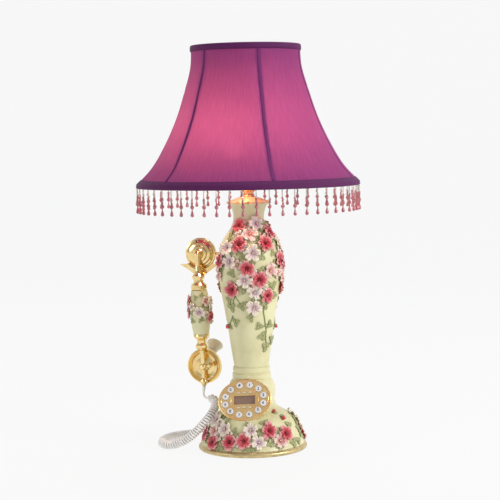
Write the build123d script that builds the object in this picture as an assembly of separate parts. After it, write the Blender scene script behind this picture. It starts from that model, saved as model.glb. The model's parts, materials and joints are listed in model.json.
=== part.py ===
from build123d import *
import os
from math import cos, hypot, pi, radians, sin, tan

# Table-lamp telephone. Millimetres, +Z up, the key plate faces -Y, the handset hangs on the -X side.
# The origin is the middle of the face that the lamp stands on.

# ---- driving dimensions ----
WALL = 3.5                    # cast resin walls
FELT = 1.5                    # felt pad thickness
COVER_R, COVER_T = 76.0, 2.5  # bottom cover
RIM_R, RIM_H = 86.0, 9.0      # gold moulding round the foot
BASE_TOP = 131.0              # where the vase stands on the foot casting
DECK = 4.0                    # horizontal floor and deck thickness
VASE_TOP = 388.0
CAP_R, CAP_H = 35.0, 10.0     # scalloped cap
PIPE_R, PIPE_BORE = 5.0, 3.5
SOCKET_R = 13.0
SHADE_LOW, SHADE_HIGH = 418.0, 634.0
SHADE_R, SHADE_TOP_R = 175.0, 85.0
CLOTH = 1.6                   # fabric with its stiff lining
RIBS = 6
RIB_START = -61.5             # bearing of one rib, degrees from +X
WIRE = 1.5                    # radius of the frame wire
DROPS = 56                    # beads hung round the shade
BULB_Z, BULB_R = 508.0, 22.5

PLATE_AT = (0.0, -44.5, 83.5)
PLATE_LEAN, PLATE_TURN = 24.5, 4.5
PLATE_A, PLATE_B, PLATE_T = 43.0, 34.0, 2.5
KEY_A, KEY_B = 31.6, 24.3     # oval that the number keys stand on
KEY_R, KEY_GAP, KEY_RISE = 5.0, 0.4, 2.2
KEY_FOOT = -4.0               # lowest point of a key below the plate's face
KEYS = ["1", "2", "3", "4", "5", "6", "7", "8", "9", "star", "0", "hash"]
FUNCTION_KEYS = ["flash", "redial", "mute", "down", "set", "up"]
FUNCTION_X, FUNCTION_Y = 9.4, 11.9
FUNCTION_A, FUNCTION_B = 2.9, 1.7
LCD_W, LCD_H = 34.0, 13.5

CUP_AT = (-86.0, 0.0, 307.0)  # middle of the ear cup, on the handset's own axis
CUP_R, DISC_R = 25.0, 28.5
HANDSET_LEAN = 1.9
DISC_Z = -180.0               # mouthpiece below the ear cup, along the handset
HANDSET_LOW = -211.0
HOOK_BEARING = 150.0          # the fork's arm leaves the vase at this bearing
HOOK_Z = 305.0
PIVOT_R = 32.0                # pivot pin from the lamp's axis
ARM_R = 3.0

CORD_R, COIL_R = 1.7, 7.0     # wire, and outside of the coil
JACK_BEARING, JACK_Z, JACK_R = 150.0, 17.0, 80.0

FOOT_CURVE = [(81.6, RIM_H), (75, 25), (67.5, 44), (61.5, 52.5), (53, 58.5), (44.5, 63), (37.5, 69), (33.7, 76)]
BALL_CURVE = [(33.7, 76), (36.6, 86), (37.0, 95), (34.5, 105), (29.5, 112)]
VASE_CURVE = [(27.5, 133), (30.9, 156), (36.4, 194), (42.6, 232), (48.0, 268), (49.0, 293), (45.8, 319),
              (36.8, 338), (27.4, 352), (24.2, 368), (31.7, VASE_TOP)]
BELL_CURVE = [(173.5, 421), (150.5, 447), (129, 485), (112, 523), (99, 562), (88, 600), (85, SHADE_HIGH)]


# ---- small helpers ----
def polar(radius, bearing, z=0.0):
    return (radius * cos(radians(bearing)), radius * sin(radians(bearing)), z)


def turned(*edges):
    """A solid of revolution about Z from a closed outline in the XZ plane."""
    return revolve(make_face(Curve() + list(edges)), Axis.Z)


def lathe(points):
    """A solid of revolution from straight runs through (radius, height) points."""
    return revolve(make_face(Polyline([(r, 0, z) for r, z in points], close=True)), Axis.Z)


def smooth(points, shift=0.0):
    return Spline([(r - shift, 0, z) for r, z in points])


def line(*points):
    return Polyline([(r, 0, z) for r, z in points])


def ring(outer, inner, low, high):
    return lathe([(inner, low), (outer, low), (outer, high), (inner, high)])


def post(radius, low, high, x=0.0, y=0.0):
    return Pos(x, y, (low + high) / 2) * Cylinder(radius, high - low)


def torus(radius, wire, z):
    return Pos(0, 0, z) * Torus(radius, wire)


def bar(start, end, radius):
    """A round bar between two points."""
    along = Vector(*end) - Vector(*start)
    plane = Plane(origin=start, z_dir=along)
    return plane * Pos(0, 0, along.length / 2) * Cylinder(radius, along.length)


def curve_radius(curve, z):
    """Radius of a turned outline at height z, between the points that shape it."""
    for (r0, z0), (r1, z1) in zip(curve, curve[1:]):
        if z0 <= z <= z1:
            return r0 + (r1 - r0) * (z - z0) / (z1 - z0)
    return curve[-1][0]


def curve_slope(curve, z, step=3.0):
    """How fast the radius grows with height."""
    low = max(z - step, curve[0][1])
    high = min(z + step, curve[-1][1])
    return (curve_radius(curve, high) - curve_radius(curve, low)) / (high - low)


def surface_plane(curve, bearing, z, sunk):
    """A plane on a turned surface, its Z pointing out, set back by sunk."""
    slope = curve_slope(curve, z)
    size = hypot(1, slope)
    normal = Vector(*polar(1 / size, bearing, -slope / size))
    spot = Vector(*polar(curve_radius(curve, z), bearing, z))
    return Plane(origin=spot - normal * sunk, z_dir=normal)


PLATE = Plane(origin=PLATE_AT,
              x_dir=(cos(radians(PLATE_TURN)),
                     sin(radians(PLATE_TURN)) * sin(radians(PLATE_LEAN)),
                     sin(radians(PLATE_TURN)) * cos(radians(PLATE_LEAN))),
              z_dir=(0, -cos(radians(PLATE_LEAN)), sin(radians(PLATE_LEAN))))
HANDSET = Plane(origin=CUP_AT, x_dir=(cos(radians(HANDSET_LEAN)), 0, sin(radians(HANDSET_LEAN))),
                z_dir=(-sin(radians(HANDSET_LEAN)), 0, cos(radians(HANDSET_LEAN))))
# The ear cup and mouthpiece are turned about the handset's front-to-back line.
CUP = Plane(origin=CUP_AT, x_dir=(1, 0, 0), z_dir=(0, 1, 0))
DISC = Plane(origin=HANDSET.from_local_coords(Vector(0, 0, DISC_Z)), x_dir=(1, 0, 0), z_dir=(0, 1, 0))
# x runs out of the vase along the fork's arm, y lies along the pivot pin.
HOOK = Plane(origin=(0, 0, HOOK_Z), x_dir=polar(1, HOOK_BEARING), z_dir=(0, 0, 1))
JACK = Plane(origin=polar(JACK_R, JACK_BEARING, JACK_Z), x_dir=(0, 0, 1), z_dir=polar(1, JACK_BEARING))


# ---- foot ----
def oval(a, b, low, high):
    return Pos(0, 0, low) * extrude(Ellipse(a, b), high - low)


def dial_box(shift, depth):
    """The oval housing behind the key plate, or the hollow in it."""
    return PLATE * oval(PLATE_A - 1 - shift, PLATE_B - 1 - shift, -depth, -PLATE_T)


def base_outside():
    collar = line((29.5, 112), (30.3, 114), (30.3, 119.5), (28.2, 121.5), (29.4, 123.5), (29.4, 129), (28, BASE_TOP))
    return turned(smooth(FOOT_CURVE), smooth(BALL_CURVE), collar,
                  line((28, BASE_TOP), (0, BASE_TOP), (0, RIM_H), FOOT_CURVE[0]))


def base_inside():
    top = BASE_TOP - DECK
    foot = [(r - WALL, z) for r, z in FOOT_CURVE]
    ball = [(r - WALL, z) for r, z in BALL_CURVE]
    return turned(smooth(foot), smooth(ball), line(ball[-1], (25.5, 115), (25.5, top), (0, top)),
                  line((0, top), (0, RIM_H - 1), (foot[0][0], RIM_H - 1), foot[0]))


def base_shell():
    body = base_outside() + dial_box(0, 34)
    body -= base_inside()
    body -= dial_box(2.8, 34)
    body -= PLATE * oval(PLATE_A + 0.1, PLATE_B + 0.1, -PLATE_T, 50)
    body -= post(PIPE_R + 0.2, 100, 140)
    body -= JACK * Box(10.4, 10.4, 30)
    body -= LINE_JACK * Box(10.4, 10.4, 30)
    body -= GLAND * Cylinder(4.2, 30)
    return body


LINE_JACK = Plane(origin=polar(JACK_R, 105, JACK_Z), x_dir=(0, 0, 1), z_dir=polar(1, 105))
GLAND = Plane(origin=polar(JACK_R, 75, JACK_Z), x_dir=(0, 0, 1), z_dir=polar(1, 75))


def base_rim():
    """A rounded gold moulding that carries the casting and clears the floor by a hair."""
    inner = COVER_R + 0.4
    outline = Curve() + [line((inner, 0), (RIM_R - 3, 0)),
                         ThreePointArc((RIM_R - 3, 0, 0), (RIM_R, 0, 3.6), (RIM_R - 2.6, 0, 7.4)),
                         line((RIM_R - 2.6, 7.4), (FOOT_CURVE[0][0], RIM_H), (inner, RIM_H), (inner, 0))]
    return revolve(make_face(outline), Axis.Z)


def bottom_cover():
    cover = post(COVER_R, FELT, FELT + COVER_T)
    for x, y in SCREW_SPOTS:
        cover -= post(1.8, 0, 10, x, y)
        cover -= post(3.4, FELT, FELT + 1.4, x, y)
    return cover


SCREW_SPOTS = [polar(68, 45 + 90 * i)[:2] for i in range(4)]


def cover_screws():
    screws = []
    for x, y in SCREW_SPOTS:
        screw = post(3.1, FELT + 0.2, FELT + 1.4, x, y) + post(1.5, FELT + 1.4, 12, x, y)
        screws.append(screw)
    return screws


def base_bosses():
    """Pillars inside the foot that the cover screws go into."""
    return [ring(3.4, 1.5, FELT + COVER_T, 48).moved(Location((x, y, 0))) for x, y in SCREW_SPOTS]


def felt_pad():
    return post(COVER_R - 1, 0, FELT)


def ballast_plate():
    low = FELT + COVER_T
    plate = post(60, low, low + 9)
    plate -= post(8, 0, 30)
    return plate


# ---- vase and lamp ----
def vase_body():
    foot = line((0, BASE_TOP), (27.0, BASE_TOP), VASE_CURVE[0])
    outside = turned(smooth(VASE_CURVE), foot, line(VASE_CURVE[-1], (0, VASE_TOP), (0, BASE_TOP)))
    hollow = [(r - WALL, z) for r, z in VASE_CURVE[1:]]
    low = BASE_TOP + DECK
    inside = turned(smooth(hollow), line((0, low), (VASE_CURVE[0][0] - WALL, low), hollow[0]),
                    line(hollow[-1], (0, VASE_TOP), (0, low)))
    body = outside - inside
    body -= post(PIPE_R + 0.2, 120, 150)
    body -= HOOK * Pos(45, 0, 0) * Box(30, 8.4, 9.4)
    return body


def vase_cap():
    dome = turned(line((0, VASE_TOP), (CAP_R + 2, VASE_TOP)),
                  Line((CAP_R + 2, 0, VASE_TOP), (CAP_R + 1, 0, VASE_TOP + 2)),
                  ThreePointArc((CAP_R + 1, 0, VASE_TOP + 2), (26, 0, VASE_TOP + 5.5),
                                (13, 0, VASE_TOP + CAP_H)),
                  line((13, VASE_TOP + CAP_H), (0, VASE_TOP + CAP_H), (0, VASE_TOP)))
    lobes = [Pos(*polar(CAP_R - 8, i * 30)) * Circle(8.0) for i in range(12)]
    outline = Sketch() + [Circle(CAP_R - 6)] + lobes
    cap = dome & (Pos(0, 0, VASE_TOP - 1) * extrude(outline, CAP_H + 2))
    return cap - post(PIPE_R + 0.2, VASE_TOP - 5, VASE_TOP + 20)


def lamp_pipe():
    return ring(PIPE_R, PIPE_BORE, 110, 412)


def hex_nut(low, high, across=17.0):
    nut = Pos(0, 0, low) * extrude(RegularPolygon(across / 2, 6, major_radius=False), high - low)
    return nut - post(PIPE_R, low - 1, high + 1)


def pipe_nuts():
    """Under the foot's deck, on the cap, and either side of the hook bracket."""
    return [hex_nut(BASE_TOP - DECK - 7, BASE_TOP - DECK), hex_nut(HOOK_Z - 17, HOOK_Z - 13),
            hex_nut(HOOK_Z - 11, HOOK_Z - 7)]


def lamp_socket():
    low = VASE_TOP + CAP_H
    cup = lathe([(PIPE_R + 0.2, low), (9, low), (9.5, low + 2.5), (7.5, low + 5), (8, low + 7), (SOCKET_R, low + 11),
                 (SOCKET_R, low + 26), (PIPE_R + 0.2, low + 26)])
    cup -= post(SOCKET_R - 1.5, low + 13, low + 30)
    shell = lathe([(SOCKET_R, low + 26), (14.5, low + 27.5), (14.5, low + 68), (9.5, low + 68), (9.5, low + 30),
                   (SOCKET_R - 1.5, low + 26)])
    clamp = ring(19, 14.6, low + 48, low + 51.5)
    return [cup, shell, clamp]


def bulb_cap():
    low = VASE_TOP + CAP_H + 36
    return lathe([(0, low), (5, low + 1), (7, low + 4), (7, low + 34), (0, low + 34)])


def bulb_glass():
    low = VASE_TOP + CAP_H + 70
    outline = Curve() + [line((0, low), (7, low)),
                         Spline([(7, 0, low), (13.5, 0, low + 12), (BULB_R, 0, BULB_Z + 2), (0, 0, BULB_Z + 26)],
                                tangents=[(0.1, 0, 1), (-1, 0, 0)]),
                         line((0, BULB_Z + 26), (0, low))]
    return revolve(make_face(outline), Axis.Z)


# ---- shade ----
def shade_fabric():
    outer = [(r, z) for r, z in BELL_CURVE]
    sheet = turned(smooth(outer), line(BELL_CURVE[-1], (SHADE_TOP_R - CLOTH, SHADE_HIGH)),
                   smooth(outer, CLOTH), line((BELL_CURVE[0][0] - CLOTH, 421), BELL_CURVE[0]))
    panels = []
    for i in range(RIBS):
        wedge = Pos(0, 0, SHADE_LOW - 5) * extrude(sector(RIB_START + i * 360 / RIBS, 0.12), 240)
        panels.append(sheet & wedge)
    return panels


def sector(start, gap):
    """A pie slice as wide as one panel, gap degrees short at each side."""
    first, last = start + gap, start + 360 / RIBS - gap
    corners = [(0, 0), polar(260, first)[:2], polar(260, (first + last) / 2)[:2], polar(260, last)[:2]]
    return make_face(Polyline(corners, close=True))


def shade_trims():
    top = ring(SHADE_TOP_R + 1.2, SHADE_TOP_R + 0.2, SHADE_HIGH - 9, SHADE_HIGH)
    hem = lathe([(SHADE_R - 2.2, SHADE_LOW - 3), (SHADE_R + 0.6, SHADE_LOW - 3), (SHADE_R - 3.4, SHADE_LOW + 9),
                 (SHADE_R - 8.2, SHADE_LOW + 9), (SHADE_R - 4, SHADE_LOW + 2.6)])
    return [top, hem - sheet_clearance()]


def sheet_clearance():
    """The room that the fabric takes inside the hem."""
    outer = [(r + 0.1, z - 0.1) for r, z in BELL_CURVE]
    return turned(smooth(outer), line(outer[-1], (0, outer[-1][1]), (0, outer[0][1]), outer[0]))


def shade_frame():
    """Top and bottom rings, a curved rib at each seam and three spokes to the fitting ring."""
    top_r, top_z = SHADE_TOP_R - CLOTH - WIRE - 0.3, SHADE_HIGH - 4
    low_r, low_z = SHADE_R - 10.0, 424.5
    fit_z = VASE_TOP + CAP_H + 49.8
    wires = [torus(top_r, WIRE, top_z), torus(low_r, WIRE, low_z), ring(22.5, 19.2, fit_z - 1.5, fit_z + 1.5)]
    shape = [(r - CLOTH - WIRE - 1.2, z) for r, z in BELL_CURVE[1:-2]]
    shape = [(low_r - 2.4, low_z + 3.2)] + shape + [(top_r - 0.4, BELL_CURVE[-2][1]), (top_r, top_z - 2.4)]
    for i in range(RIBS):
        bearing = RIB_START + i * 360 / RIBS
        wires.append(wire_through([polar(r, bearing, z) for r, z in shape]))
    for i in range(3):
        bearing = RIB_START + 30 + i * 120
        wires.append(bar(polar(24.6, bearing, fit_z + 0.4), polar(top_r - 3.6, bearing, top_z - 3), WIRE))
    return wires


def wire_through(points):
    path = cord_path(points)
    return sweep(Plane(origin=path @ 0, z_dir=path % 0) * Circle(WIRE), path)


def bead_fringe():
    """Drops on threads: a clear strand, small beads, an oval bead and a long drop."""
    hang = SHADE_LOW - 3.2
    outline = line((0, hang), (0.9, hang), (0.9, hang - 14), (2.0, hang - 14.5), (2.0, hang - 26), (1.0, hang - 27),
                   (2.9, hang - 30), (2.9, hang - 32), (0.9, hang - 35), (2.7, hang - 39), (2.3, hang - 42),
                   (0, hang - 44.5), (0, hang))
    drop = revolve(make_face(outline), Axis.Z)
    return [drop.moved(Location(polar(SHADE_R - 1.2, i * 360 / DROPS))) for i in range(DROPS)]


# ---- applied flowers ----
# The boss under each flower: its radius says which kind stands on it.
OPEN_ROSE, PALE_FLOWER, BUD, LEAF = 5.6, 4.8, 3.2, 2.4
BOSS_HEIGHT, BOSS_SUNK = 2.6, 0.8

# Heights above the floor and bearings (degrees from +X) of the garland on the front of the vase.
VASE_ROSES = [(353, -104), (342, -15), (325, -95), (326, -41), (299, -141), (300, -7), (290, -79), (272, -58),
              (257, -109), (246, -40), (258, 14)]
VASE_PALE = [(357, -50), (340, -72), (320, -122), (313, -68), (325, 8), (300, -113), (285, -36), (278, -146),
             (272, -84), (252, -66), (228, -67)]
VASE_BUDS = [(198, -137)]
VASE_LEAVES = [(358, -18), (337, -122), (281, -110), (257, -86), (262, -26), (245, -16), (232, -42), (228, -117),
               (230, -93), (204, -112), (212, -73), (198, -53), (199, -22), (182, -44), (174, -6), (164, -30),
               (308, -52), (336, -54), (308, -88), (312, -24), (240, -122)]
FOOT_ROSES = [(22, -102), (24, -85), (38, -54), (31, -32), (18, -126), (27, -148)]
FOOT_PALE = [(40, -77), (22, -68), (40, -112), (50, -134), (35, -130), (22, -42)]
FOOT_BUDS = [(62, -31), (53, -25)]
FOOT_LEAVES = [(37, -97), (48, -116), (44, -146), (34, -67), (20, -55), (14, -77), (42, -20), (50, -58), (16, -21),
               (17, -11), (33, 3), (22, 6), (14, -114)]
# The unseen back carries the same garlands, turned round and a little lower.
BACK_TURN, BACK_DROP = 152.0, 3.0
GRIP_ROSES = [(-73, 200), (-93, 193), (-99, -12), (-73, 95), (-96, 120)]
GRIP_PALE = [(-91, -78), (-78, 0), (-74, -35), (-84, 150), (-104, 60)]
GRIP_LEAVES = [(-64, -55), (-68, -100), (-103, -70), (-105, -125), (-84, -148), (-64, 60), (-88, 80), (-106, 160)]


def boss(plane, radius):
    return plane * Pos(0, 0, BOSS_HEIGHT / 2) * Cylinder(radius, BOSS_HEIGHT)


def garland(curve, groups, turn=0.0, drop=0.0, keep=lambda z, bearing: True):
    solids = []
    for radius, spots in groups:
        for z, bearing in spots:
            if keep(z - drop, bearing + turn):
                solids.append(boss(surface_plane(curve, bearing + turn, z - drop, BOSS_SUNK), radius))
    return solids


def clear_of_hook(z, bearing):
    """No flower where the fork's arm comes out of the vase."""
    off = (bearing - HOOK_BEARING + 180) % 360 - 180
    return abs(off) * pi / 180 * 49 > 17 or abs(z - HOOK_Z) > 17


def clear_of_sockets(z, bearing):
    """No flower over the sockets in the back of the foot."""
    off = (bearing - 112 + 180) % 360 - 180
    return abs(off) > 50 or z > 34


def vase_flowers():
    groups = [(OPEN_ROSE, VASE_ROSES), (PALE_FLOWER, VASE_PALE), (BUD, VASE_BUDS), (LEAF, VASE_LEAVES)]
    front = garland(VASE_CURVE, groups)
    back = garland(VASE_CURVE, groups, BACK_TURN, BACK_DROP, clear_of_hook)
    return apart(front + back)


def foot_flowers():
    groups = [(OPEN_ROSE, FOOT_ROSES), (PALE_FLOWER, FOOT_PALE), (BUD, FOOT_BUDS), (LEAF, FOOT_LEAVES)]
    front = garland(FOOT_CURVE, groups)
    back = garland(FOOT_CURVE, groups, BACK_TURN, 0.0, clear_of_sockets)
    return apart(front + back)


def apart(solids):
    """Leaves out each boss that would run into one already placed."""
    kept = []
    for solid in solids:
        reach = solid.bounding_box()
        middle, size = reach.center(), reach.diagonal / 2
        if all((middle - other.center()).length > size + other.diagonal / 2 - 1.6 for other in
               [k.bounding_box() for k in kept]):
            kept.append(solid)
    return kept


# ---- key plate ----
def number_key_spots():
    """Twelve spots round the oval, clockwise from the 1 at the right of the top."""
    spots = []
    for i in range(12):
        angle = radians(75 - 30 * i)
        spots.append((KEY_A * cos(angle), KEY_B * sin(angle)))
    return spots


def function_key_spots():
    return [(x, y) for y in (FUNCTION_Y, -FUNCTION_Y) for x in (-FUNCTION_X, 0, FUNCTION_X)]


def dial_plate():
    plate = oval(PLATE_A, PLATE_B, -PLATE_T, 0)
    edge = plate.faces().sort_by(Axis.Z)[-1].edges()
    plate = fillet(edge, 1.6)
    plate -= Pos(0, 0, -PLATE_T / 2) * Box(LCD_W, LCD_H, 10)
    for x, y in number_key_spots():
        plate -= Pos(x, y, 0) * Cylinder(KEY_R + 0.35, 10)
    for x, y in function_key_spots():
        plate -= Pos(x, y, -5) * extrude(Ellipse(FUNCTION_A + 0.35, FUNCTION_B + 0.35), 10)
    return PLATE * plate


def number_key(x, y):
    """A domed round key with a flange that the plate holds back."""
    key = post(KEY_R, KEY_FOOT, KEY_RISE)
    key = fillet(key.edges().group_by(Axis.Z)[-1], 0.9)
    key += post(KEY_R + 0.55, KEY_FOOT, -PLATE_T - KEY_GAP)
    return PLATE * Pos(x, y, 0) * key


def function_key(x, y):
    key = oval(FUNCTION_A, FUNCTION_B, KEY_FOOT, 1.2)
    key = fillet(key.edges().group_by(Axis.Z)[-1], 0.5)
    key += oval(FUNCTION_A + 0.5, FUNCTION_B + 0.5, KEY_FOOT, -PLATE_T - KEY_GAP)
    return PLATE * Pos(x, y, 0) * key


def lcd_lens():
    return PLATE * Pos(0, 0, -PLATE_T - 0.5) * Box(LCD_W + 2.6, LCD_H + 2.0, 1.0)


def lcd_module():
    return PLATE * Pos(0, 0, -PLATE_T - 3.2) * Box(LCD_W + 2.6, LCD_H + 2.0, 4.4)


def key_membrane():
    sheet = oval(PLATE_A - 4.2, PLATE_B - 4.2, -7.2, -5.5)
    sheet -= Pos(0, 0, -6) * Box(LCD_W + 4, LCD_H + 3, 6)
    return PLATE * sheet


def main_board():
    board = Pos(0, 0, -12.8) * Box(50, 36, 1.6)
    chip = Pos(-8, 0, -14.8) * Box(12, 12, 2.4)
    header = Pos(12, -10, -15.6) * Box(10, 5, 4)
    posts = [post(2, -12, -7.2, x, y) for x in (-22, 22) for y in (-12, 12)]
    return PLATE * (board + chip + header + posts)


def ringer():
    return PLATE * Pos(10, 6, -17.1) * Cylinder(8, 7)


# ---- sockets and cord ends ----
def rear_sockets():
    sockets = []
    for plane in (JACK, LINE_JACK):
        body = plane * Pos(0, 0, -7) * Box(10, 10, 14)
        mouth = plane * Pos(0, 0, -3) * Box(6.8, 8.2, 13)
        flange = plane * Pos(0, 0, 0.6) * (Box(13, 13, 2) - Box(6.8, 8.2, 4))
        sockets.append(body - mouth + flange)
    gland = GLAND * (Pos(0, 0, -4) * Cylinder(4.0, 14) + Pos(0, 0, 2.2) * Cylinder(6.5, 3.6))
    sockets.append(gland - GLAND * Cylinder(3.6, 40))
    return sockets


def cord_plug():
    body = JACK * Pos(0, 0, 3) * Box(6.2, 7.6, 18)
    boot = JACK * Pos(0, 0, 15) * Cylinder(2.6, 6)
    return body + boot


# ---- fork ----
FORK_BACK, FORK_FRONT = 20.5, 11.5
CRADLE_GAP = 0.4


def fork_blade():
    """A leaf-ended crescent under the ear cup, drawn in the cup's own plane."""
    seat = CUP_R + CRADLE_GAP
    lip = radians(38)
    right = (seat * cos(lip), -seat * sin(lip))
    outline = Curve() + [ThreePointArc((-right[0], right[1]), (0, -seat), right),
                         Spline([right, (26, -16.8), (33, -17)]),
                         Spline([(33, -17), (20.5, -24.5), (9, -33), (0, -41)]),
                         Spline([(0, -41), (-9, -33), (-20.5, -24.5), (-33, -17)]),
                         Spline([(-33, -17), (-26, -16.8), (-right[0], right[1])])]
    face = make_face(outline)
    plane = Plane(origin=(CUP_AT[0], FORK_BACK, CUP_AT[2]), x_dir=(1, 0, 0), z_dir=(0, -1, 0))
    return plane * extrude(face, FORK_BACK - FORK_FRONT)


def hook_lever():
    """Fork blade, the round arm that passes behind the ear cup, hub and switch tail."""
    elbow = HOOK.from_local_coords(Vector(80, 0, 0))
    start = HOOK.from_local_coords(Vector(PIVOT_R + 2, 0, 0))
    below = CUP_AT[2] - 26
    route = FilletPolyline(start, elbow, Vector(CUP_AT[0], 36, below), Vector(CUP_AT[0], 17, below - 11),
                           radius=[9.0, 7.0])
    arm = sweep(Plane(origin=route @ 0, z_dir=route % 0) * Circle(ARM_R), route)
    hub = HOOK * Pos(PIVOT_R, 0, 0) * Rot(90, 0, 0) * Cylinder(4.5, 7)
    tail = HOOK * Pos(PIVOT_R - 9, 0, -1.4) * Box(14, 4, 2)
    lever = arm + hub + tail + fork_blade()
    return lever - HOOK * Pos(PIVOT_R, 0, 0) * Rot(90, 0, 0) * Cylinder(1.6, 20)


def hook_pin():
    pin = Pos(PIVOT_R, 0, 0) * Rot(90, 0, 0) * Cylinder(1.5, 14)
    return HOOK * pin


def hook_bracket():
    """A bent strip held on the lamp pipe, with an ear at each end of the pin."""
    strip = Pos(14.5, 0, -12) * Box(47, 13.4, 2)
    ears = [Pos(PIVOT_R, side * 5.7, -3.5) * Box(12, 1.6, 16) for side in (-1, 1)]
    bracket = strip + ears
    bracket -= post(PIPE_R + 0.2, -20, 10)
    bracket -= Pos(PIVOT_R, 0, 0) * Rot(90, 0, 0) * Cylinder(1.5, 20)
    return HOOK * bracket


def hook_switch():
    body = Pos(17.5, 0, -7.5) * Box(13, 6, 7)
    button = Pos(20, 0, -3.6) * Box(2.4, 2.4, 0.8)
    return HOOK * (body + button)


def hook_escutcheon():
    ring_plate = Cylinder(10, 5) - Box(8.6, 9.6, 20)
    return HOOK * Pos(50.0, 0, 0) * Rot(0, 90, 0) * ring_plate


# ---- handset ----
def earpiece_shell():
    """A dished cup with raised rings, its back towards the front of the lamp."""
    outside = [(0, 4.6), (7, 4.6), (8.6, 6.4), (12, 7.0), (13.2, 9.4), (17.2, 10.6), (18.4, 13.4), (21.4, 15.0),
               (22.4, 16.6), (24.2, 17.0), (CUP_R, 18.2), (CUP_R, 22.0)]
    inside = [(CUP_R - 2, 22.0), (CUP_R - 2, 19.5), (20.6, 17.6), (16.4, 13.4), (12.0, 10.6), (6, 8.4), (0, 8.4)]
    return CUP * lathe(outside + inside)


def earpiece_cap():
    cap = lathe([(0, 22.2), (CUP_R - 0.2, 22.2), (CUP_R - 0.2, 24.6), (21.5, 27), (14, 25.6), (0, 24.6)])
    for count, radius in ((1, 0), (6, 5)):
        for i in range(count):
            cap -= post(0.9, 20, 30, *polar(radius, i * 60)[:2])
    return CUP * cap


def handset_capsules():
    receiver = CUP * post(15.5, 16.0, 21.8)
    microphone = HORN * post(3.9, 9.0, 13.0)
    return [receiver, microphone]


def spun(points):
    return HANDSET * lathe(points)


def handset_fittings():
    """Upper knob and bell, lower bells, the bar in front of the mouthpiece and its knuckles."""
    neck = spun([(0, 4.0), (3.4, 4.0), (4.2, 0), (4.2, -18), (5.4, -26), (7.0, -30), (10.2, -34), (10.2, -37),
                 (8.0, -41), (8.2, -44), (12.8, -48.5), (13.0, -54), (11.4, -56.8), (0, -56.8)])
    hub = HANDSET * Sphere(6.0)
    neck = neck + hub - CUP * post(20, 4.6, 16)
    low = spun([(0, -127.2), (12.6, -127.2), (13.2, -130), (11.8, -133), (7.6, -137), (7.4, -141), (10.6, -145),
                (10.4, -148.5), (5.0, -154), (3.6, -160), (3.6, -198), (5.2, -200), (6.2, -203), (5.0, -207),
                (3.0, HANDSET_LOW), (0, HANDSET_LOW)])
    low += HANDSET * Pos(0, 0, DISC_Z) * Sphere(6.5)
    low += HANDSET * Pos(10.5, -1, DISC_Z + 1.5) * Sphere(4.0)
    low += HANDSET * Pos(7.0, -0.6, DISC_Z + 0.8) * Rot(0, 90, 0) * Cylinder(1.8, 8)
    low -= DISC * post(31, 5.6, 20)
    return [neck, low]


def handset_grip():
    barrel = turned(Spline([(12.6, 0, -57), (15.2, 0, -75), (15.8, 0, -93), (14.8, 0, -112), (12.4, 0, -127)]),
                    line((12.4, -127), (9, -127), (9, -57), (12.6, -57)))
    return HANDSET * barrel


def grip_flowers():
    curve = [(12.4, -127), (14.8, -112), (15.8, -93), (15.2, -75), (12.6, -57)]
    groups = [(3.9, GRIP_ROSES), (3.4, GRIP_PALE), (1.9, GRIP_LEAVES)]
    return apart([HANDSET * solid for solid in garland(curve, groups)])


def mouthpiece_disc():
    disc = lathe([(0, 5.6), (4, 5.6), (6.5, 6.8), (9, 8.4), (15, 9.4), (20.5, 8.6), (22, 7.2), (23.4, 8.0), (24.6, 9.0),
                  (26.2, 6.4), (28.0, 6.6), (DISC_R, 8.6), (27.4, 11.4), (20, 13.6), (8, 15.4), (0, 15.4)])
    return DISC * disc


HORN_AIM = Vector(0.10, 0.80, 0.60)
HORN = Plane(origin=DISC.origin + Vector(0, 13.0, 0), z_dir=HORN_AIM)


def mouthpiece_horn():
    """A flared trumpet behind the disc, its mouth turned up and away."""
    outside = Spline([(6.0, 0, 6.5), (6.6, 0, 22), (8.4, 0, 36), (13.5, 0, 48)])
    inside = Spline([(12.0, 0, 48), (6.8, 0, 36), (4.8, 0, 22), (4.2, 0, 6.5)])
    horn = HORN * turned(outside, line((13.5, 48), (12.0, 48)), inside, line((4.2, 6.5), (6.0, 6.5)))
    stem = HORN * post(6.0, -4, 6.5)
    return (stem + horn) - DISC * post(40, 0, 15.4)


# ---- curly cord ----
# The coil's own line, from under the handset down past the key plate, along the floor and round
# behind to the socket in the back of the foot.
COIL_ROUTE = [(-71.5, -2.0, 75.5), (-63.5, -4.0, 77.5), (-57.5, -9.0, 73.0), (-55.0, -22.0, 66.5),
              (-57.0, -38.0, 57.5), (-67.0, -47.5, 44.5), (-80.0, -50.0, 30.5), (-96.0, -50.0, 17.5),
              (-114.5, -48.0, 9.4), (-131.5, -44.0, 7.3), (-144.0, -32.0, 7.3), (-150.0, -15.0, 7.3),
              (-148.0, 3.5, 7.3), (-138.0, 20.0, 7.3), (-123.0, 32.5, 7.3), (-112.5, 39.5, 8.2)]
TAIL_ROUTE = [(-79.0, 0.0, 95.5), (-80.2, -0.6, 87.5), (-79.8, -1.3, 79.5), COIL_ROUTE[0]]
END_ROUTE = [COIL_ROUTE[-1], (-104.0, 47.0, 9.5), (-95.0, 53.0, 14.0)]


def cord_path(points):
    """Straight runs joined by arcs, each as large as 0.45 of the shorter run allows."""
    spots = [Vector(*p) for p in points]
    radii = []
    for before, here, after in zip(spots, spots[1:], spots[2:]):
        first, second = here - before, after - here
        turn = radians(first.get_angle(second))
        radii.append(0.45 * min(first.length, second.length) / tan(turn / 2))
    return FilletPolyline(*spots, radius=radii)


def tube(points, radius, name):
    path = cord_path(points)
    print(name, "length", round(path.length, 1))
    return sweep(Plane(origin=path @ 0, z_dir=path % 0) * Circle(radius), path)


def plug_end():
    """Where the cord leaves the plug's boot."""
    return tuple(JACK.from_local_coords(Vector(0, 0, 18)))


def cord_tails():
    end = END_ROUTE + [plug_end()]
    return [tube(TAIL_ROUTE, CORD_R, "tail"), tube(end, CORD_R, "end")]


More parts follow.
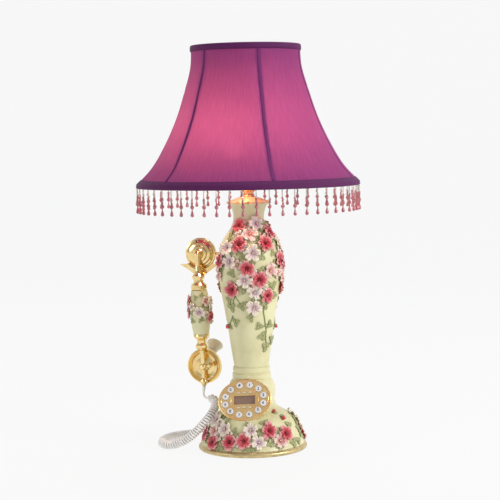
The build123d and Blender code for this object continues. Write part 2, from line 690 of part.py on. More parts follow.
# ---- all nodes ----
def nodes():
    shell = base_shell()
    for pillar in base_bosses():
        shell += pillar & base_outside()
    yield "base_shell", shell
    yield "base_rim", base_rim()
    yield "bottom_cover", bottom_cover()
    yield "felt_pad", felt_pad()
    yield "cover_screws", cover_screws()
    yield "ballast_plate", ballast_plate()
    yield "vase_body", vase_body()
    yield "vase_cap", vase_cap()
    yield "vase_flowers", vase_flowers()
    yield "foot_flowers", foot_flowers()
    yield "lamp_pipe", lamp_pipe()
    yield "pipe_nuts", pipe_nuts()
    yield "lamp_socket", lamp_socket()
    yield "bulb_cap", bulb_cap()
    yield "bulb_glass", bulb_glass()
    yield "shade_frame", shade_frame()
    yield "shade_fabric", shade_fabric()
    yield "shade_trims", shade_trims()
    yield "bead_fringe", bead_fringe()
    yield "dial_plate", dial_plate()
    for name, (x, y) in zip(KEYS, number_key_spots()):
        yield "key_" + name, number_key(x, y)
    for name, (x, y) in zip(FUNCTION_KEYS, function_key_spots()):
        yield "key_" + name, function_key(x, y)
    yield "lcd_lens", lcd_lens()
    yield "lcd_module", lcd_module()
    yield "key_membrane", key_membrane()
    yield "main_board", main_board()
    yield "ringer", ringer()
    yield "rear_sockets", rear_sockets()
    yield "hook_lever", hook_lever()
    yield "hook_pin", hook_pin()
    yield "hook_bracket", hook_bracket()
    yield "hook_switch", hook_switch()
    yield "hook_escutcheon", hook_escutcheon()
    yield "earpiece_shell", earpiece_shell()
    yield "earpiece_cap", earpiece_cap()
    yield "handset_capsules", handset_capsules()
    yield "handset_fittings", handset_fittings()
    yield "handset_grip", handset_grip()
    yield "grip_flowers", grip_flowers()
    yield "mouthpiece_disc", mouthpiece_disc()
    yield "mouthpiece_horn", mouthpiece_horn()
    yield "cord_coil", tube(COIL_ROUTE, COIL_R, "coil")
    yield "cord_tails", cord_tails()
    yield "cord_plug", cord_plug()


os.makedirs("parts", exist_ok=True)
for node_name, shape in nodes():
    if isinstance(shape, list):
        shape = Compound(children=[s for item in shape for s in item.solids()])
    export_step(shape, "parts/" + node_name + ".step")
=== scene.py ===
import json
import math
import random

import bmesh
import bpy
import numpy as np
from mathutils import Matrix, Vector


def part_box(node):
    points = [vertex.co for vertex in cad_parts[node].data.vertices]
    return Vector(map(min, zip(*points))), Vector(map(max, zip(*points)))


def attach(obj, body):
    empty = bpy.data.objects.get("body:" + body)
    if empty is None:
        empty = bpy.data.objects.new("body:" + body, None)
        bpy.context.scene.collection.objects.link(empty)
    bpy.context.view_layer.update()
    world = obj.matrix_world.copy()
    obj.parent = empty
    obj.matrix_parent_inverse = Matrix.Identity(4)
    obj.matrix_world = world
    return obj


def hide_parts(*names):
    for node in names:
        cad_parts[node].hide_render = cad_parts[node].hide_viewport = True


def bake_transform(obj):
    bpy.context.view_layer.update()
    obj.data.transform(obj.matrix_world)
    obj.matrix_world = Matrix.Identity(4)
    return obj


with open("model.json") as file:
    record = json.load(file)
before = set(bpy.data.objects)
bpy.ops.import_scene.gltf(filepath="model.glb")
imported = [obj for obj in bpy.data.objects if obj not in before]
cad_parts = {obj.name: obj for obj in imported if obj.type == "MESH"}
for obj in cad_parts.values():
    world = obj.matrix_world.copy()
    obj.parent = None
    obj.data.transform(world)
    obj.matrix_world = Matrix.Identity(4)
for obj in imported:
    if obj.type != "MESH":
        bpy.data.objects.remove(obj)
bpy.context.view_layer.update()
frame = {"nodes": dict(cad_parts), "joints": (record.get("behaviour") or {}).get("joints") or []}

# Table-lamp telephone. Metres, +Z up, the key plate faces -Y, the handset hangs on the -X side.
RIBS = 6
RIB_START = -61.5                 # bearing of one rib, degrees from +X
SHADE_LOW, SHADE_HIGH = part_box("shade_trims")[0][2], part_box("shade_trims")[1][2]
BULB = (Vector(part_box("bulb_glass")[0]) + Vector(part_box("bulb_glass")[1])) / 2
# The shade's outline as (radius, height), the same few points that shape it in the frame.
BELL = [(0.1735, 0.421), (0.1505, 0.447), (0.129, 0.485), (0.112, 0.523), (0.099, 0.562), (0.088, 0.600),
        (0.085, 0.634)]
VASE = [(0.0275, 0.133), (0.0309, 0.156), (0.0364, 0.194), (0.0426, 0.232), (0.048, 0.268), (0.049, 0.293),
        (0.0458, 0.319), (0.0368, 0.338), (0.0274, 0.352), (0.0242, 0.368), (0.0317, 0.388)]


# ---------------------------------------------------------------- helpers
def polar(radius, bearing, z=0.0):
    return Vector((radius * math.cos(math.radians(bearing)), radius * math.sin(math.radians(bearing)), z))


def smooth_radius(curve, z):
    """Radius at height z on a rounded line through the curve's points."""
    heights = [p[1] for p in curve]
    z = min(max(z, heights[0]), heights[-1])
    i = max(0, min(len(curve) - 2, sum(1 for h in heights if h <= z) - 1))
    a, b, c, d = curve[max(i - 1, 0)], curve[i], curve[i + 1], curve[min(i + 2, len(curve) - 1)]
    t = (z - b[1]) / (c[1] - b[1])
    slope_b = (c[0] - a[0]) / (c[1] - a[1]) * (c[1] - b[1])
    slope_c = (d[0] - b[0]) / (d[1] - b[1]) * (c[1] - b[1])
    return ((2 * t ** 3 - 3 * t ** 2 + 1) * b[0] + (t ** 3 - 2 * t ** 2 + t) * slope_b
            + (3 * t ** 2 - 2 * t ** 3) * c[0] + (t ** 3 - t ** 2) * slope_c)


def linked(name, data):
    """A new object in the scene."""
    obj = bpy.data.objects.new(name, data)
    bpy.context.scene.collection.objects.link(obj)
    return obj


def as_mesh(data):
    """The mesh that a curve or a text makes."""
    holder = linked(data.name, data)
    bpy.context.view_layer.update()
    mesh = bpy.data.meshes.new_from_object(holder.evaluated_get(bpy.context.evaluated_depsgraph_get()))
    bpy.data.objects.remove(holder)
    return mesh


def new_object(name, verts, faces, material, smooth=True, colours=None):
    mesh = bpy.data.meshes.new(name)
    mesh.from_pydata([tuple(v) for v in verts], [], faces)
    mesh.validate()
    mesh.materials.append(material)
    if smooth:
        mesh.shade_smooth()
    if colours is not None:
        paint = mesh.color_attributes.new("paint", "FLOAT_COLOR", "POINT")
        flat = np.ones((len(colours), 4), np.float32)
        flat[:, :3] = np.array(colours, np.float32)
        paint.data.foreach_set("color", flat.ravel())
    return linked(name, mesh)


class Pieces:
    """Gathers many small meshes into one object."""

    def __init__(self):
        self.verts, self.faces, self.colours = [], [], []

    def add(self, verts, faces, colours=None):
        start = len(self.verts)
        self.verts.extend(verts)
        self.faces.extend(tuple(i + start for i in face) for face in faces)
        self.colours.extend(colours if colours is not None else [(1, 1, 1)] * len(verts))

    def build(self, name, material):
        return new_object(name, self.verts, self.faces, material, colours=self.colours)


def grid_faces(rows, columns, closed):
    """Quads of a grid, its columns joined up when closed."""
    faces = []
    for r in range(rows - 1):
        for c in range(columns if closed else columns - 1):
            n = (c + 1) % columns
            faces.append((r * columns + c, r * columns + n, (r + 1) * columns + n, (r + 1) * columns + c))
    return faces


def both_sides(faces, shift):
    """The faces, and the same turned over on the second layer of points, shift further on."""
    return faces + [tuple(i + shift for i in reversed(face)) for face in faces]


def tube(points, radius, sides=8, caps=True):
    """A round tube along points, with its rings carried along without twist."""
    points = [Vector(p) for p in points]
    last = len(points) - 1
    along = [(points[min(i + 1, last)] - points[max(i - 1, 0)]).normalized() for i in range(len(points))]
    side = along[0].orthogonal().normalized()
    verts = []
    for i, (point, way) in enumerate(zip(points, along)):
        side = (side - way * side.dot(way)).normalized()
        up = way.cross(side)
        r = radius[i] if isinstance(radius, list) else radius
        for k in range(sides):
            angle = 2 * math.pi * k / sides
            verts.append(point + side * (r * math.cos(angle)) + up * (r * math.sin(angle)))
    faces = grid_faces(len(points), sides, True)
    if caps:
        faces.append(tuple(reversed(range(sides))))
        faces.append(tuple(range(len(verts) - sides, len(verts))))
    return verts, faces


def lathe(outline, sides=12, at=Vector((0, 0, 0)), turn=None):
    """A small turned piece from (radius, height) points that start and end on the axis."""
    verts = [Vector((0, 0, outline[0][1]))]
    for radius, height in outline[1:-1]:
        for k in range(sides):
            angle = 2 * math.pi * k / sides
            verts.append(Vector((radius * math.cos(angle), radius * math.sin(angle), height)))
    verts.append(Vector((0, 0, outline[-1][1])))
    rings = len(outline) - 2
    faces = [(0, 1 + (k + 1) % sides, 1 + k) for k in range(sides)]
    faces += [tuple(i + 1 for i in face) for face in grid_faces(rings, sides, True)]
    last, end = 1 + (rings - 1) * sides, len(verts) - 1
    faces += [(last + k, last + (k + 1) % sides, end) for k in range(sides)]
    if outline[0][1] > outline[-1][1]:
        faces = [tuple(reversed(face)) for face in faces]
    if turn is not None:
        verts = [turn @ v for v in verts]
    return [v + at for v in verts], faces


def loose_parts(node):
    """The facts of each separate solid of a CAD node, as part_facts gives them."""
    bm = bmesh.new()
    bm.from_mesh(frame["nodes"][node].data)
    bmesh.ops.remove_doubles(bm, verts=bm.verts, dist=1e-6)
    seen, parts = set(), []
    for first in bm.verts:
        if first.index in seen:
            continue
        seen.add(first.index)
        stack, group, faces = [first], [], set()
        while stack:
            vert = stack.pop()
            group.append(vert)
            faces.update(vert.link_faces)
            for edge in vert.link_edges:
                other = edge.other_vert(vert)
                if other.index not in seen:
                    seen.add(other.index)
                    stack.append(other)
        parts.append(part_facts(group, faces))
    bm.free()
    return parts


def part_facts(group, faces):
    """A solid's middle, its lowest and highest corners, and its largest flat's normal and radius."""
    low = Vector([min(v.co[i] for v in group) for i in range(3)])
    high = Vector([max(v.co[i] for v in group) for i in range(3)])
    flats = {}
    for face in faces:
        key = tuple(round(x, 2) for x in face.normal)
        flats[key] = flats.get(key, 0.0) + face.calc_area()
    key = max(flats, key=flats.get)
    return {"middle": (low + high) / 2, "low": low, "high": high, "normal": Vector(key).normalized(),
            "radius": math.sqrt(flats[key] / math.pi)}


# ---------------------------------------------------------------- materials
class Shader:
    """A node material with short names for what the pieces here need."""

    def __init__(self, name, **values):
        self.material = bpy.data.materials.new(name)
        self.material.use_nodes = True
        self.nodes = self.material.node_tree.nodes
        self.links = self.material.node_tree.links
        self.bsdf = self.nodes["Principled BSDF"]
        for key, value in values.items():
            self.bsdf.inputs[key.replace("_", " ")].default_value = value
        self.place = self.nodes.new("ShaderNodeTexCoord").outputs["Object"]

    def noise(self, scale, detail=3.0, rough=0.5, stretch=None):
        node = self.nodes.new("ShaderNodeTexNoise")
        node.inputs["Scale"].default_value = scale
        node.inputs["Detail"].default_value = detail
        node.inputs["Roughness"].default_value = rough
        place = self.place
        if stretch:
            scaled = self.nodes.new("ShaderNodeVectorMath")
            scaled.operation = "MULTIPLY"
            scaled.inputs[1].default_value = stretch
            self.links.new(place, scaled.inputs[0])
            place = scaled.outputs[0]
        self.links.new(place, node.inputs["Vector"])
        return node.outputs["Fac"]

    def ramp(self, value, stops):
        node = self.nodes.new("ShaderNodeValToRGB")
        while len(node.color_ramp.elements) < len(stops):
            node.color_ramp.elements.new(0.5)
        for element, (at, colour) in zip(node.color_ramp.elements, stops):
            element.position = at
            element.color = (*colour, 1.0)
        self.links.new(value, node.inputs["Fac"])
        return node.outputs["Color"]

    def span(self, value, low, high):
        node = self.nodes.new("ShaderNodeMapRange")
        node.inputs["To Min"].default_value = low
        node.inputs["To Max"].default_value = high
        self.links.new(value, node.inputs["Value"])
        return node.outputs["Result"]

    def math(self, operation, a, b):
        node = self.nodes.new("ShaderNodeMath")
        node.operation = operation
        for socket, value in zip(node.inputs, (a, b)):
            if isinstance(value, (int, float)):
                socket.default_value = value
            else:
                self.links.new(value, socket)
        return node.outputs[0]

    def mix(self, factor, a, b, blend="MIX"):
        node = self.nodes.new("ShaderNodeMix")
        node.data_type = "RGBA"
        node.blend_type = blend
        for socket, value in ((node.inputs[0], factor), (node.inputs[6], a), (node.inputs[7], b)):
            if isinstance(value, (int, float)):
                socket.default_value = value
            elif isinstance(value, tuple):
                socket.default_value = (*value, 1.0)
            else:
                self.links.new(value, socket)
        return node.outputs[2]

    def attribute(self, name):
        node = self.nodes.new("ShaderNodeAttribute")
        node.attribute_name = name
        return node

    def set(self, socket, value):
        self.links.new(value, self.bsdf.inputs[socket])

    def bump(self, height, strength, distance):
        node = self.nodes.new("ShaderNodeBump")
        node.inputs["Strength"].default_value = strength
        node.inputs["Distance"].default_value = distance
        self.links.new(height, node.inputs["Height"])
        self.links.new(node.outputs["Normal"], self.bsdf.inputs["Normal"])
        return node.outputs["Normal"]


def cream_resin():
    """Satin lime-cream paint, a little uneven, browner where the brush left it thin."""
    shader = Shader("cream_resin", Roughness=0.42, Coat_Weight=0.18, Coat_Roughness=0.25)
    cloud = shader.noise(26, 4, 0.55)
    shader.set("Base Color", shader.ramp(cloud, [(0.30, (0.60, 0.55, 0.30)), (0.52, (0.69, 0.65, 0.37)),
                                                 (0.75, (0.73, 0.70, 0.42))]))
    shader.set("Roughness", shader.span(shader.noise(90), 0.34, 0.50))
    shader.bump(shader.noise(420, 4, 0.6), 0.12, 0.0004)
    return shader.material


def polished_gold(name="polished_gold", tint=(0.93, 0.73, 0.37), deep=(0.82, 0.59, 0.25),
                  rough=(0.10, 0.22)):
    """Bright plating with soft cloudiness, finger-dulled here and there."""
    shader = Shader(name, Metallic=1.0)
    shader.set("Base Color", shader.ramp(shader.noise(45, 4, 0.6), [(0.35, deep), (0.6, tint)]))
    shader.set("Roughness", shader.span(shader.noise(130, 5, 0.6), *rough))
    shader.bump(shader.noise(160, 2), 0.10, 0.0004)
    return shader.material


def worn_gold(name, light, dark):
    """Gold paint on resin, thinner in random patches of wear."""
    shader = Shader(name, Metallic=0.75)
    wear = shader.noise(70, 6, 0.7)
    shader.set("Base Color", shader.ramp(wear, [(0.32, dark), (0.55, light), (0.80, light)]))
    shader.set("Roughness", shader.span(wear, 0.26, 0.48))
    shader.bump(shader.noise(300, 4), 0.15, 0.0004)
    return shader.material


def painted(name, rough=0.38):
    """Hand-painted ceramic petals and leaves, the colours held on the mesh."""
    shader = Shader(name, Coat_Weight=0.15, Coat_Roughness=0.3)
    paint = shader.attribute("paint").outputs["Color"]
    streak = shader.ramp(shader.noise(900, 3), [(0.3, (0.88, 0.88, 0.88)), (0.7, (1.0, 1.0, 1.0))])
    shader.set("Base Color", shader.mix(1.0, paint, streak, "MULTIPLY"))
    shader.set("Roughness", shader.span(shader.noise(200), rough - 0.08, rough + 0.10))
    shader.bump(shader.noise(1500, 3), 0.15, 0.0002)
    return shader.material


def plain(name, colour, rough, bump=0.08, scale=500, **values):
    """Moulded or turned stock with fine grain and small changes of tone."""
    shader = Shader(name, Roughness=rough, **values)
    dark = tuple(c * 0.86 for c in colour)
    shader.set("Base Color", shader.ramp(shader.noise(60, 4), [(0.35, dark), (0.65, colour)]))
    shader.set("Roughness", shader.span(shader.noise(220), max(0.02, rough - 0.06), rough + 0.08))
    shader.bump(shader.noise(scale, 4), bump, 0.0003)
    return shader.material


AHEAD = 0.12                      # share of the light through the cloth that keeps its direction
THREADS_ROUND, THREADS_UP = 2600.0, 1900.0      # threads in a metre of cloth


def satin(name, colour, through, glow, weave_depth=0.25):
    """Woven satin that lets part of the bulb's light through. The weave follows the panel's own threads."""
    shader = Shader(name, Roughness=0.60, Specular_IOR_Level=0.25, Sheen_Weight=0.05, Sheen_Roughness=0.3,
                    Sheen_Tint=(0.85, 0.35, 0.75, 1))
    threads = shader.attribute("threads").outputs["Vector"]
    split = shader.nodes.new("ShaderNodeSeparateXYZ")
    shader.links.new(threads, split.inputs[0])
    waves = []
    for axis, count in (("X", THREADS_ROUND), ("Y", THREADS_UP)):
        turns = shader.math("MULTIPLY", split.outputs[axis], count * 2 * math.pi)
        waves.append(shader.math("SINE", turns, 0.0))
    weave = shader.math("ADD", waves[0], shader.math("MULTIPLY", waves[1], 0.7))
    slub = shader.nodes.new("ShaderNodeTexNoise")
    slub.inputs["Scale"].default_value = 1.0
    slub.inputs["Detail"].default_value = 4.0
    stretched = shader.nodes.new("ShaderNodeVectorMath")
    stretched.operation = "MULTIPLY"
    stretched.inputs[1].default_value = (420.0, 40.0, 1.0)
    shader.links.new(threads, stretched.inputs[0])
    shader.links.new(stretched.outputs[0], slub.inputs["Vector"])
    tone = shader.ramp(slub.outputs["Fac"], [(0.3, tuple(c * 0.82 for c in colour)), (0.7, colour)])
    shader.set("Base Color", tone)
    height = shader.math("ADD", weave, shader.math("MULTIPLY", slub.outputs["Fac"], 3.0))
    normal = shader.bump(height, weave_depth, 0.00025)
    if glow:
        lit = shader.nodes.new("ShaderNodeBsdfTranslucent")
        lit_tone = shader.ramp(slub.outputs["Fac"], [(0.3, tuple(c * 0.85 for c in through)), (0.7, through)])
        shader.links.new(lit_tone, lit.inputs["Color"])
        shader.links.new(normal, lit.inputs["Normal"])
        ahead = shader.nodes.new("ShaderNodeBsdfRefraction")
        ahead.inputs["Roughness"].default_value = 0.62
        ahead.inputs["IOR"].default_value = 1.04
        shader.links.new(lit_tone, ahead.inputs["Color"])
        passed = shader.nodes.new("ShaderNodeMixShader")
        passed.inputs[0].default_value = AHEAD
        both = shader.nodes.new("ShaderNodeMixShader")
        both.inputs[0].default_value = glow
        shader.links.new(lit.outputs[0], passed.inputs[1])
        shader.links.new(ahead.outputs[0], passed.inputs[2])
        shader.links.new(shader.bsdf.outputs[0], both.inputs[1])
        shader.links.new(passed.outputs[0], both.inputs[2])
        shader.links.new(both.outputs[0], shader.nodes["Material Output"].inputs["Surface"])
    return shader.material


def bead_glass(name, colour):
    shader = Shader(name, Roughness=0.12, IOR=1.5, Transmission_Weight=0.35, Coat_Weight=0.6,
                    Coat_Roughness=0.05)
    dark = tuple(c * 0.7 for c in colour)
    shader.set("Base Color", shader.ramp(shader.noise(240), [(0.3, dark), (0.7, colour)]))
    shader.bump(shader.noise(700), 0.05, 0.0002)
    return shader.material


def lit_bulb():
    shader = Shader("lit_bulb", Roughness=0.3)
    colour = shader.ramp(shader.noise(60), [(0.3, (1.0, 0.74, 0.42)), (0.7, (1.0, 0.82, 0.56))])
    shader.set("Base Color", colour)
    shader.set("Emission Color", colour)
    shader.bsdf.inputs["Emission Strength"].default_value = 26.0
    return shader.material


CREAM = cream_resin()
GOLD = polished_gold()
ROSE_GOLD = polished_gold("rose_gold", (1.0, 0.71, 0.33), (0.95, 0.58, 0.24), (0.22, 0.34))
RIM_GOLD = worn_gold("rim_gold", (0.66, 0.52, 0.26), (0.42, 0.33, 0.15))
# The cap and socket gold is peach: partly its own gold paint, partly a painted reflection of the warm bulb
# light and the pink shade above it.
CAP_GOLD_WITH_PAINTED_LAMPLIGHT = worn_gold("cap_gold_painted_lamplight", (0.90, 0.55, 0.32), (0.72, 0.44, 0.22))
PAINTED = painted("painted_flowers")
WHITE = plain("key_white", (0.84, 0.82, 0.79), 0.22, 0.03, Coat_Weight=0.4, Coat_Roughness=0.08)
PEARL = plain("key_pearl", (0.86, 0.74, 0.50), 0.28, 0.03, Metallic=0.35)
INK = plain("ink", (0.035, 0.035, 0.09), 0.5, 0.02)
CORD = plain("cord_white", (0.94, 0.91, 0.86), 0.36, 0.05)
HORN = plain("horn_cream", (0.72, 0.62, 0.43), 0.30, 0.04, Coat_Weight=0.3, Coat_Roughness=0.15)
STEEL = plain("steel", (0.56, 0.56, 0.56), 0.30, 0.08, Metallic=1.0)
BLACK = plain("black_plastic", (0.03, 0.03, 0.035), 0.45)
FELT = plain("felt", (0.05, 0.13, 0.08), 0.9, 0.6, 900)
IRON = plain("iron", (0.09, 0.09, 0.095), 0.6, 0.4, 300, Metallic=0.8)
BOARD = plain("board_green", (0.03, 0.16, 0.07), 0.4)
MAT = plain("key_mat", (0.50, 0.50, 0.48), 0.6)
CLEAR = plain("plug_clear", (0.80, 0.84, 0.86), 0.15, 0.02, Transmission_Weight=0.6)
WINDOW = plain("display_window", (0.30, 0.18, 0.13), 0.16, 0.02, Coat_Weight=0.4, Coat_Roughness=0.05)
SATIN = satin("satin_purple", (0.29, 0.042, 0.245), (0.70, 0.32, 0.48), 0.5)
BAND = satin("satin_band", (0.095, 0.006, 0.080), (0, 0, 0), 0.0)
# The piping and inner seam strips are a darker purple than the cloth: partly their own colour, partly painted
# shadow of the rib along each seam.
PIPING_WITH_PAINTED_SHADOW = satin("satin_piping_painted_shadow", (0.150, 0.016, 0.120), (0, 0, 0), 0.0)
BEADS = bead_glass("bead_rose", (0.62, 0.16, 0.20))
STRAND = bead_glass("bead_clear", (0.80, 0.76, 0.70))

CAD_LOOKS = {
    CREAM: ["base_shell", "vase_body", "handset_grip"],
    RIM_GOLD: ["base_rim"],
    CAP_GOLD_WITH_PAINTED_LAMPLIGHT: ["vase_cap", "lamp_socket"],
    GOLD: ["hook_lever", "hook_escutcheon", "earpiece_shell", "handset_fittings", "mouthpiece_disc"],
    ROSE_GOLD: ["dial_plate", "earpiece_cap"],
    FELT: ["felt_pad"],
    BLACK: ["bottom_cover", "lcd_module", "ringer", "rear_sockets", "hook_switch", "handset_capsules"],
    STEEL: ["cover_screws", "lamp_pipe", "pipe_nuts", "bulb_cap", "shade_frame", "hook_pin", "hook_bracket"],
    IRON: ["ballast_plate"],
    MAT: ["key_membrane"],
    BOARD: ["main_board"],
    WINDOW: ["lcd_lens"],
    HORN: ["mouthpiece_horn"],
    CLEAR: ["cord_plug"],
    lit_bulb(): ["bulb_glass"],
}
NUMBER_KEYS = {"key_" + name: mark for name, mark in zip(
    ["1", "2", "3", "4", "5", "6", "7", "8", "9", "star", "0", "hash"], "123456789*0#")}
FUNCTION_KEYS = ["key_flash", "key_redial", "key_mute", "key_down", "key_set", "key_up"]


def dress_cad():
    looks = dict(CAD_LOOKS)
    looks[WHITE] = list(NUMBER_KEYS)
    looks[PEARL] = FUNCTION_KEYS
    for material, names in looks.items():
        for name in names:
            node = frame["nodes"][name]
            for place in node.material_slots:
                place.material = material
            if not node.material_slots:
                node.data.materials.append(material)


# ---------------------------------------------------------------- shade
CLOTH_LOW, CLOTH_HIGH, CLOTH_THICK = 0.4195, 0.6325, 0.0012
SEAM_LOW, SEAM_HIGH = 0.427, 0.626
PULL_IN = 0.0042                  # of the cloth, in the middle of a panel


def bow(height, across):
    """How far the cloth pulls in between two ribs, most at mid height."""
    level = (height - SHADE_LOW) / (SHADE_HIGH - SHADE_LOW)
    return PULL_IN * math.sin(math.pi * min(max(level, 0), 1)) ** 0.8 * math.sin(math.pi * across) ** 2


def crease(height, across):
    """Faint strain lines that run from the ribs towards the middle of a panel."""
    level = (height - SHADE_LOW) / (SHADE_HIGH - SHADE_LOW)
    line = level - (0.62 + 0.10 * abs(across - 0.5) * 2)
    return 0.00045 * math.exp(-(line / 0.012) ** 2)


def shade_fabric():
    """One sheet over six ribs, 1.2 mm thick with its lining, pulled in a little between them."""
    per_panel, levels = 26, 64
    around = per_panel * RIBS
    verts, threads = [], []
    for side, shift in enumerate((0.0, CLOTH_THICK)):
        for row in range(levels + 1):
            z = CLOTH_LOW + (CLOTH_HIGH - CLOTH_LOW) * row / levels
            for column in range(around):
                across = (column % per_panel) / per_panel
                bearing = RIB_START + 360.0 * column / around
                radius = smooth_radius(BELL, z) - bow(z, across) - crease(z, across) - shift
                verts.append(polar(radius, bearing, z))
                threads.append((math.radians(360.0 * column / around) * 0.12, z, side))
    ring = (levels + 1) * around
    faces = both_sides(grid_faces(levels + 1, around, True), ring)
    for column in range(around):
        after = (column + 1) % around
        top = levels * around
        faces.append((after, column, ring + column, ring + after))
        faces.append((top + column, top + after, ring + top + after, ring + top + column))
    cloth = new_object("shade_satin", verts, faces, SATIN)
    thread_lines(cloth, threads)
    return cloth


def thread_lines(obj, threads):
    layer = obj.data.attributes.new("threads", "FLOAT_VECTOR", "POINT")
    layer.data.foreach_set("vector", np.array(threads, np.float32).ravel())


def strip(name, section, material, gathers=0, depth=0.0, ease=None):
    """A folded band round the shade: a closed section swept round, with small gathers."""
    around = 432
    verts, threads = [], []
    for column in range(around):
        bearing = 360.0 * column / around
        across = ((bearing - RIB_START) % (360 / RIBS)) / (360 / RIBS)
        for k, (radius, z) in enumerate(section):
            drift = 1.7 * math.sin(math.radians(bearing) * 5 + k)
            wave = depth * math.sin(math.radians(bearing) * gathers + drift)
            give = ease(z, across) if ease else 0.0
            verts.append(polar(radius + wave - give, bearing, z))
            threads.append((math.radians(bearing) * 0.17, z + radius, 0.0))
    count = len(section)
    faces = []
    for column in range(around):
        after = (column + 1) % around
        for k in range(count):
            n = (k + 1) % count
            faces.append((column * count + k, after * count + k, after * count + n, column * count + n))
    band = new_object(name, verts, faces, material)
    thread_lines(band, threads)
    return band


def top_band():
    r, high = smooth_radius(BELL, 0.632), SHADE_HIGH
    section = [(r + 0.0002, high - 0.0094), (r + 0.0011, high - 0.0090), (r + 0.0015, high - 0.0060),
               (r + 0.0013, high - 0.0025), (r + 0.0008, high - 0.0004), (r - 0.0004, high + 0.0003),
               (r - 0.0018, high - 0.0004), (r - 0.0022, high - 0.0030), (r - 0.0022, high - 0.0085),
               (r - 0.0015, high - 0.0090), (r - 0.0015, high - 0.0010), (r + 0.0000, high - 0.0010)]
    return strip("shade_top_band", section, BAND, 150, 0.00012)


def hem_band():
    low = SHADE_LOW
    points = [(smooth_radius(BELL, low + dz) + out, low + dz) for dz, out in
              ((0.0125, 0.0001), (0.0122, 0.0010), (0.0090, 0.0014), (0.0060, 0.0015))]
    edge = [(0.1752, low + 0.0030), (0.1756, low + 0.0012), (0.1746, low + 0.0001), (0.1730, low + 0.0006),
            (0.1722, low + 0.0026)]
    inside = [(smooth_radius(BELL, low + dz) - 0.0022, low + dz) for dz in (0.0060, 0.0120)]
    back = [(smooth_radius(BELL, low + 0.0120) - 0.0014, low + 0.0122), (0.1718, low + 0.0042)]
    return strip("shade_hem", points + edge + inside + back, BAND, 168, 0.00015, bow)


def piping():
    """A stitched strip over each rib and the turned-in seam behind it, both in a darker purple that carries
    painted shadow of the rib.
    """
    cords, seams = Pieces(), Pieces()
    for i in range(RIBS):
        bearing = RIB_START + 360 * i / RIBS
        heights = [SEAM_LOW + (SEAM_HIGH - SEAM_LOW) * k / 40 for k in range(41)]
        cords.add(*flat_strip(heights, bearing))
        rows = []
        for z in heights:
            for off, inward in ((-1, 0.0016), (1, 0.0016), (1, 0.0024), (-1, 0.0024)):
                radius = smooth_radius(BELL, z) - inward
                rows.append(polar(radius, bearing + off * math.degrees(0.0034 / radius), z))
        faces = grid_faces(len(heights), 4, True)
        faces += [(3, 2, 1, 0), tuple(range(len(rows) - 4, len(rows)))]
        seams.add(rows, faces)
    outside, inside = cords.build("shade_piping", PIPING_WITH_PAINTED_SHADOW), seams.build("shade_seams", PIPING_WITH_PAINTED_SHADOW)
    for obj in (outside, inside):
        thread_lines(obj, [(v.co.x * 0.7 + v.co.y * 0.7, v.co.z, 0.0) for v in obj.data.vertices])
    return outside, inside


def flat_strip(heights, bearing):
    """A soft-edged strip along one rib, domed a little over the wire."""
    section = [(-1.0, -0.0004), (-0.85, 0.0002), (-0.3, 0.0004), (0.3, 0.0004), (0.85, 0.0002),
               (1.0, -0.0004)]
    rows = []
    for z in heights:
        radius = smooth_radius(BELL, z)
        for across, out in section:
            rows.append(polar(radius + out, bearing + across * math.degrees(0.0021 / radius), z))
    count = len(section)
    faces = grid_faces(len(heights), count, True)
    return rows, faces + [tuple(reversed(range(count))), tuple(range(len(rows) - count, len(rows)))]


def bead_fringe():
    """Each drop: a clear strand, rose seed beads, an oval and a long drop, hung a little unevenly."""
    rng = random.Random(4)
    rose, clear = Pieces(), Pieces()
    for part in loose_parts("bead_fringe"):
        top = Vector((part["middle"].x, part["middle"].y, part["high"].z + 0.0012))
        sway = Vector((rng.uniform(-1, 1), rng.uniform(-1, 1), 0)) * 0.0007
        foot = top.z - part["low"].z

        def at(depth):
            return top + sway * (depth / foot) - Vector((0, 0, depth))

        clear.add(*tube([at(0), at(0.008), at(0.016), at(0.028), at(0.036)], 0.00045, 5))
        depth = 0.0012
        while depth < 0.0120:
            clear.add(*seed(at(depth), 0.00125, 0.0011))
            depth += 0.0024
        while depth < 0.0222:
            size = 0.00190 + rng.uniform(-0.0003, 0.0003)
            nudge = Vector((rng.uniform(-1, 1), rng.uniform(-1, 1), 0)) * 0.0006
            rose.add(*seed(at(depth) + nudge, size, 0.0011))
            depth += 0.0021
        rose.add(*seed(at(0.0254), 0.0030, 0.0031, 12))
        rose.add(*seed(at(0.0292), 0.0012, 0.0009))
        drop = [(0, 0.0047), (0.0008, 0.0044), (0.0014, 0.0020), (0.0024, -0.0012), (0.0027, -0.0030),
                (0.0019, -0.0047), (0, -0.0054)]
        rose.add(*lathe(drop, 10, at(0.0347)))
    beads, strands = rose.build("fringe_beads", BEADS), clear.build("fringe_strands", STRAND)
    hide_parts("bead_fringe")
    return beads, strands


def seed(at, radius, half, sides=8):
    outline = [(0, half)] + [(radius * math.sin(math.pi * k / 6), half * math.cos(math.pi * k / 6))
                             for k in range(1, 6)] + [(0, -half)]
    return lathe(outline, sides, at)


def build_shade():
    cloth = shade_fabric()
    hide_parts("shade_fabric")
    trims = [top_band(), hem_band(), *piping()]
    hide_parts("shade_trims")
    fringe = bead_fringe()
    for piece in [cloth, *trims, *fringe]:
        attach(piece, "base")


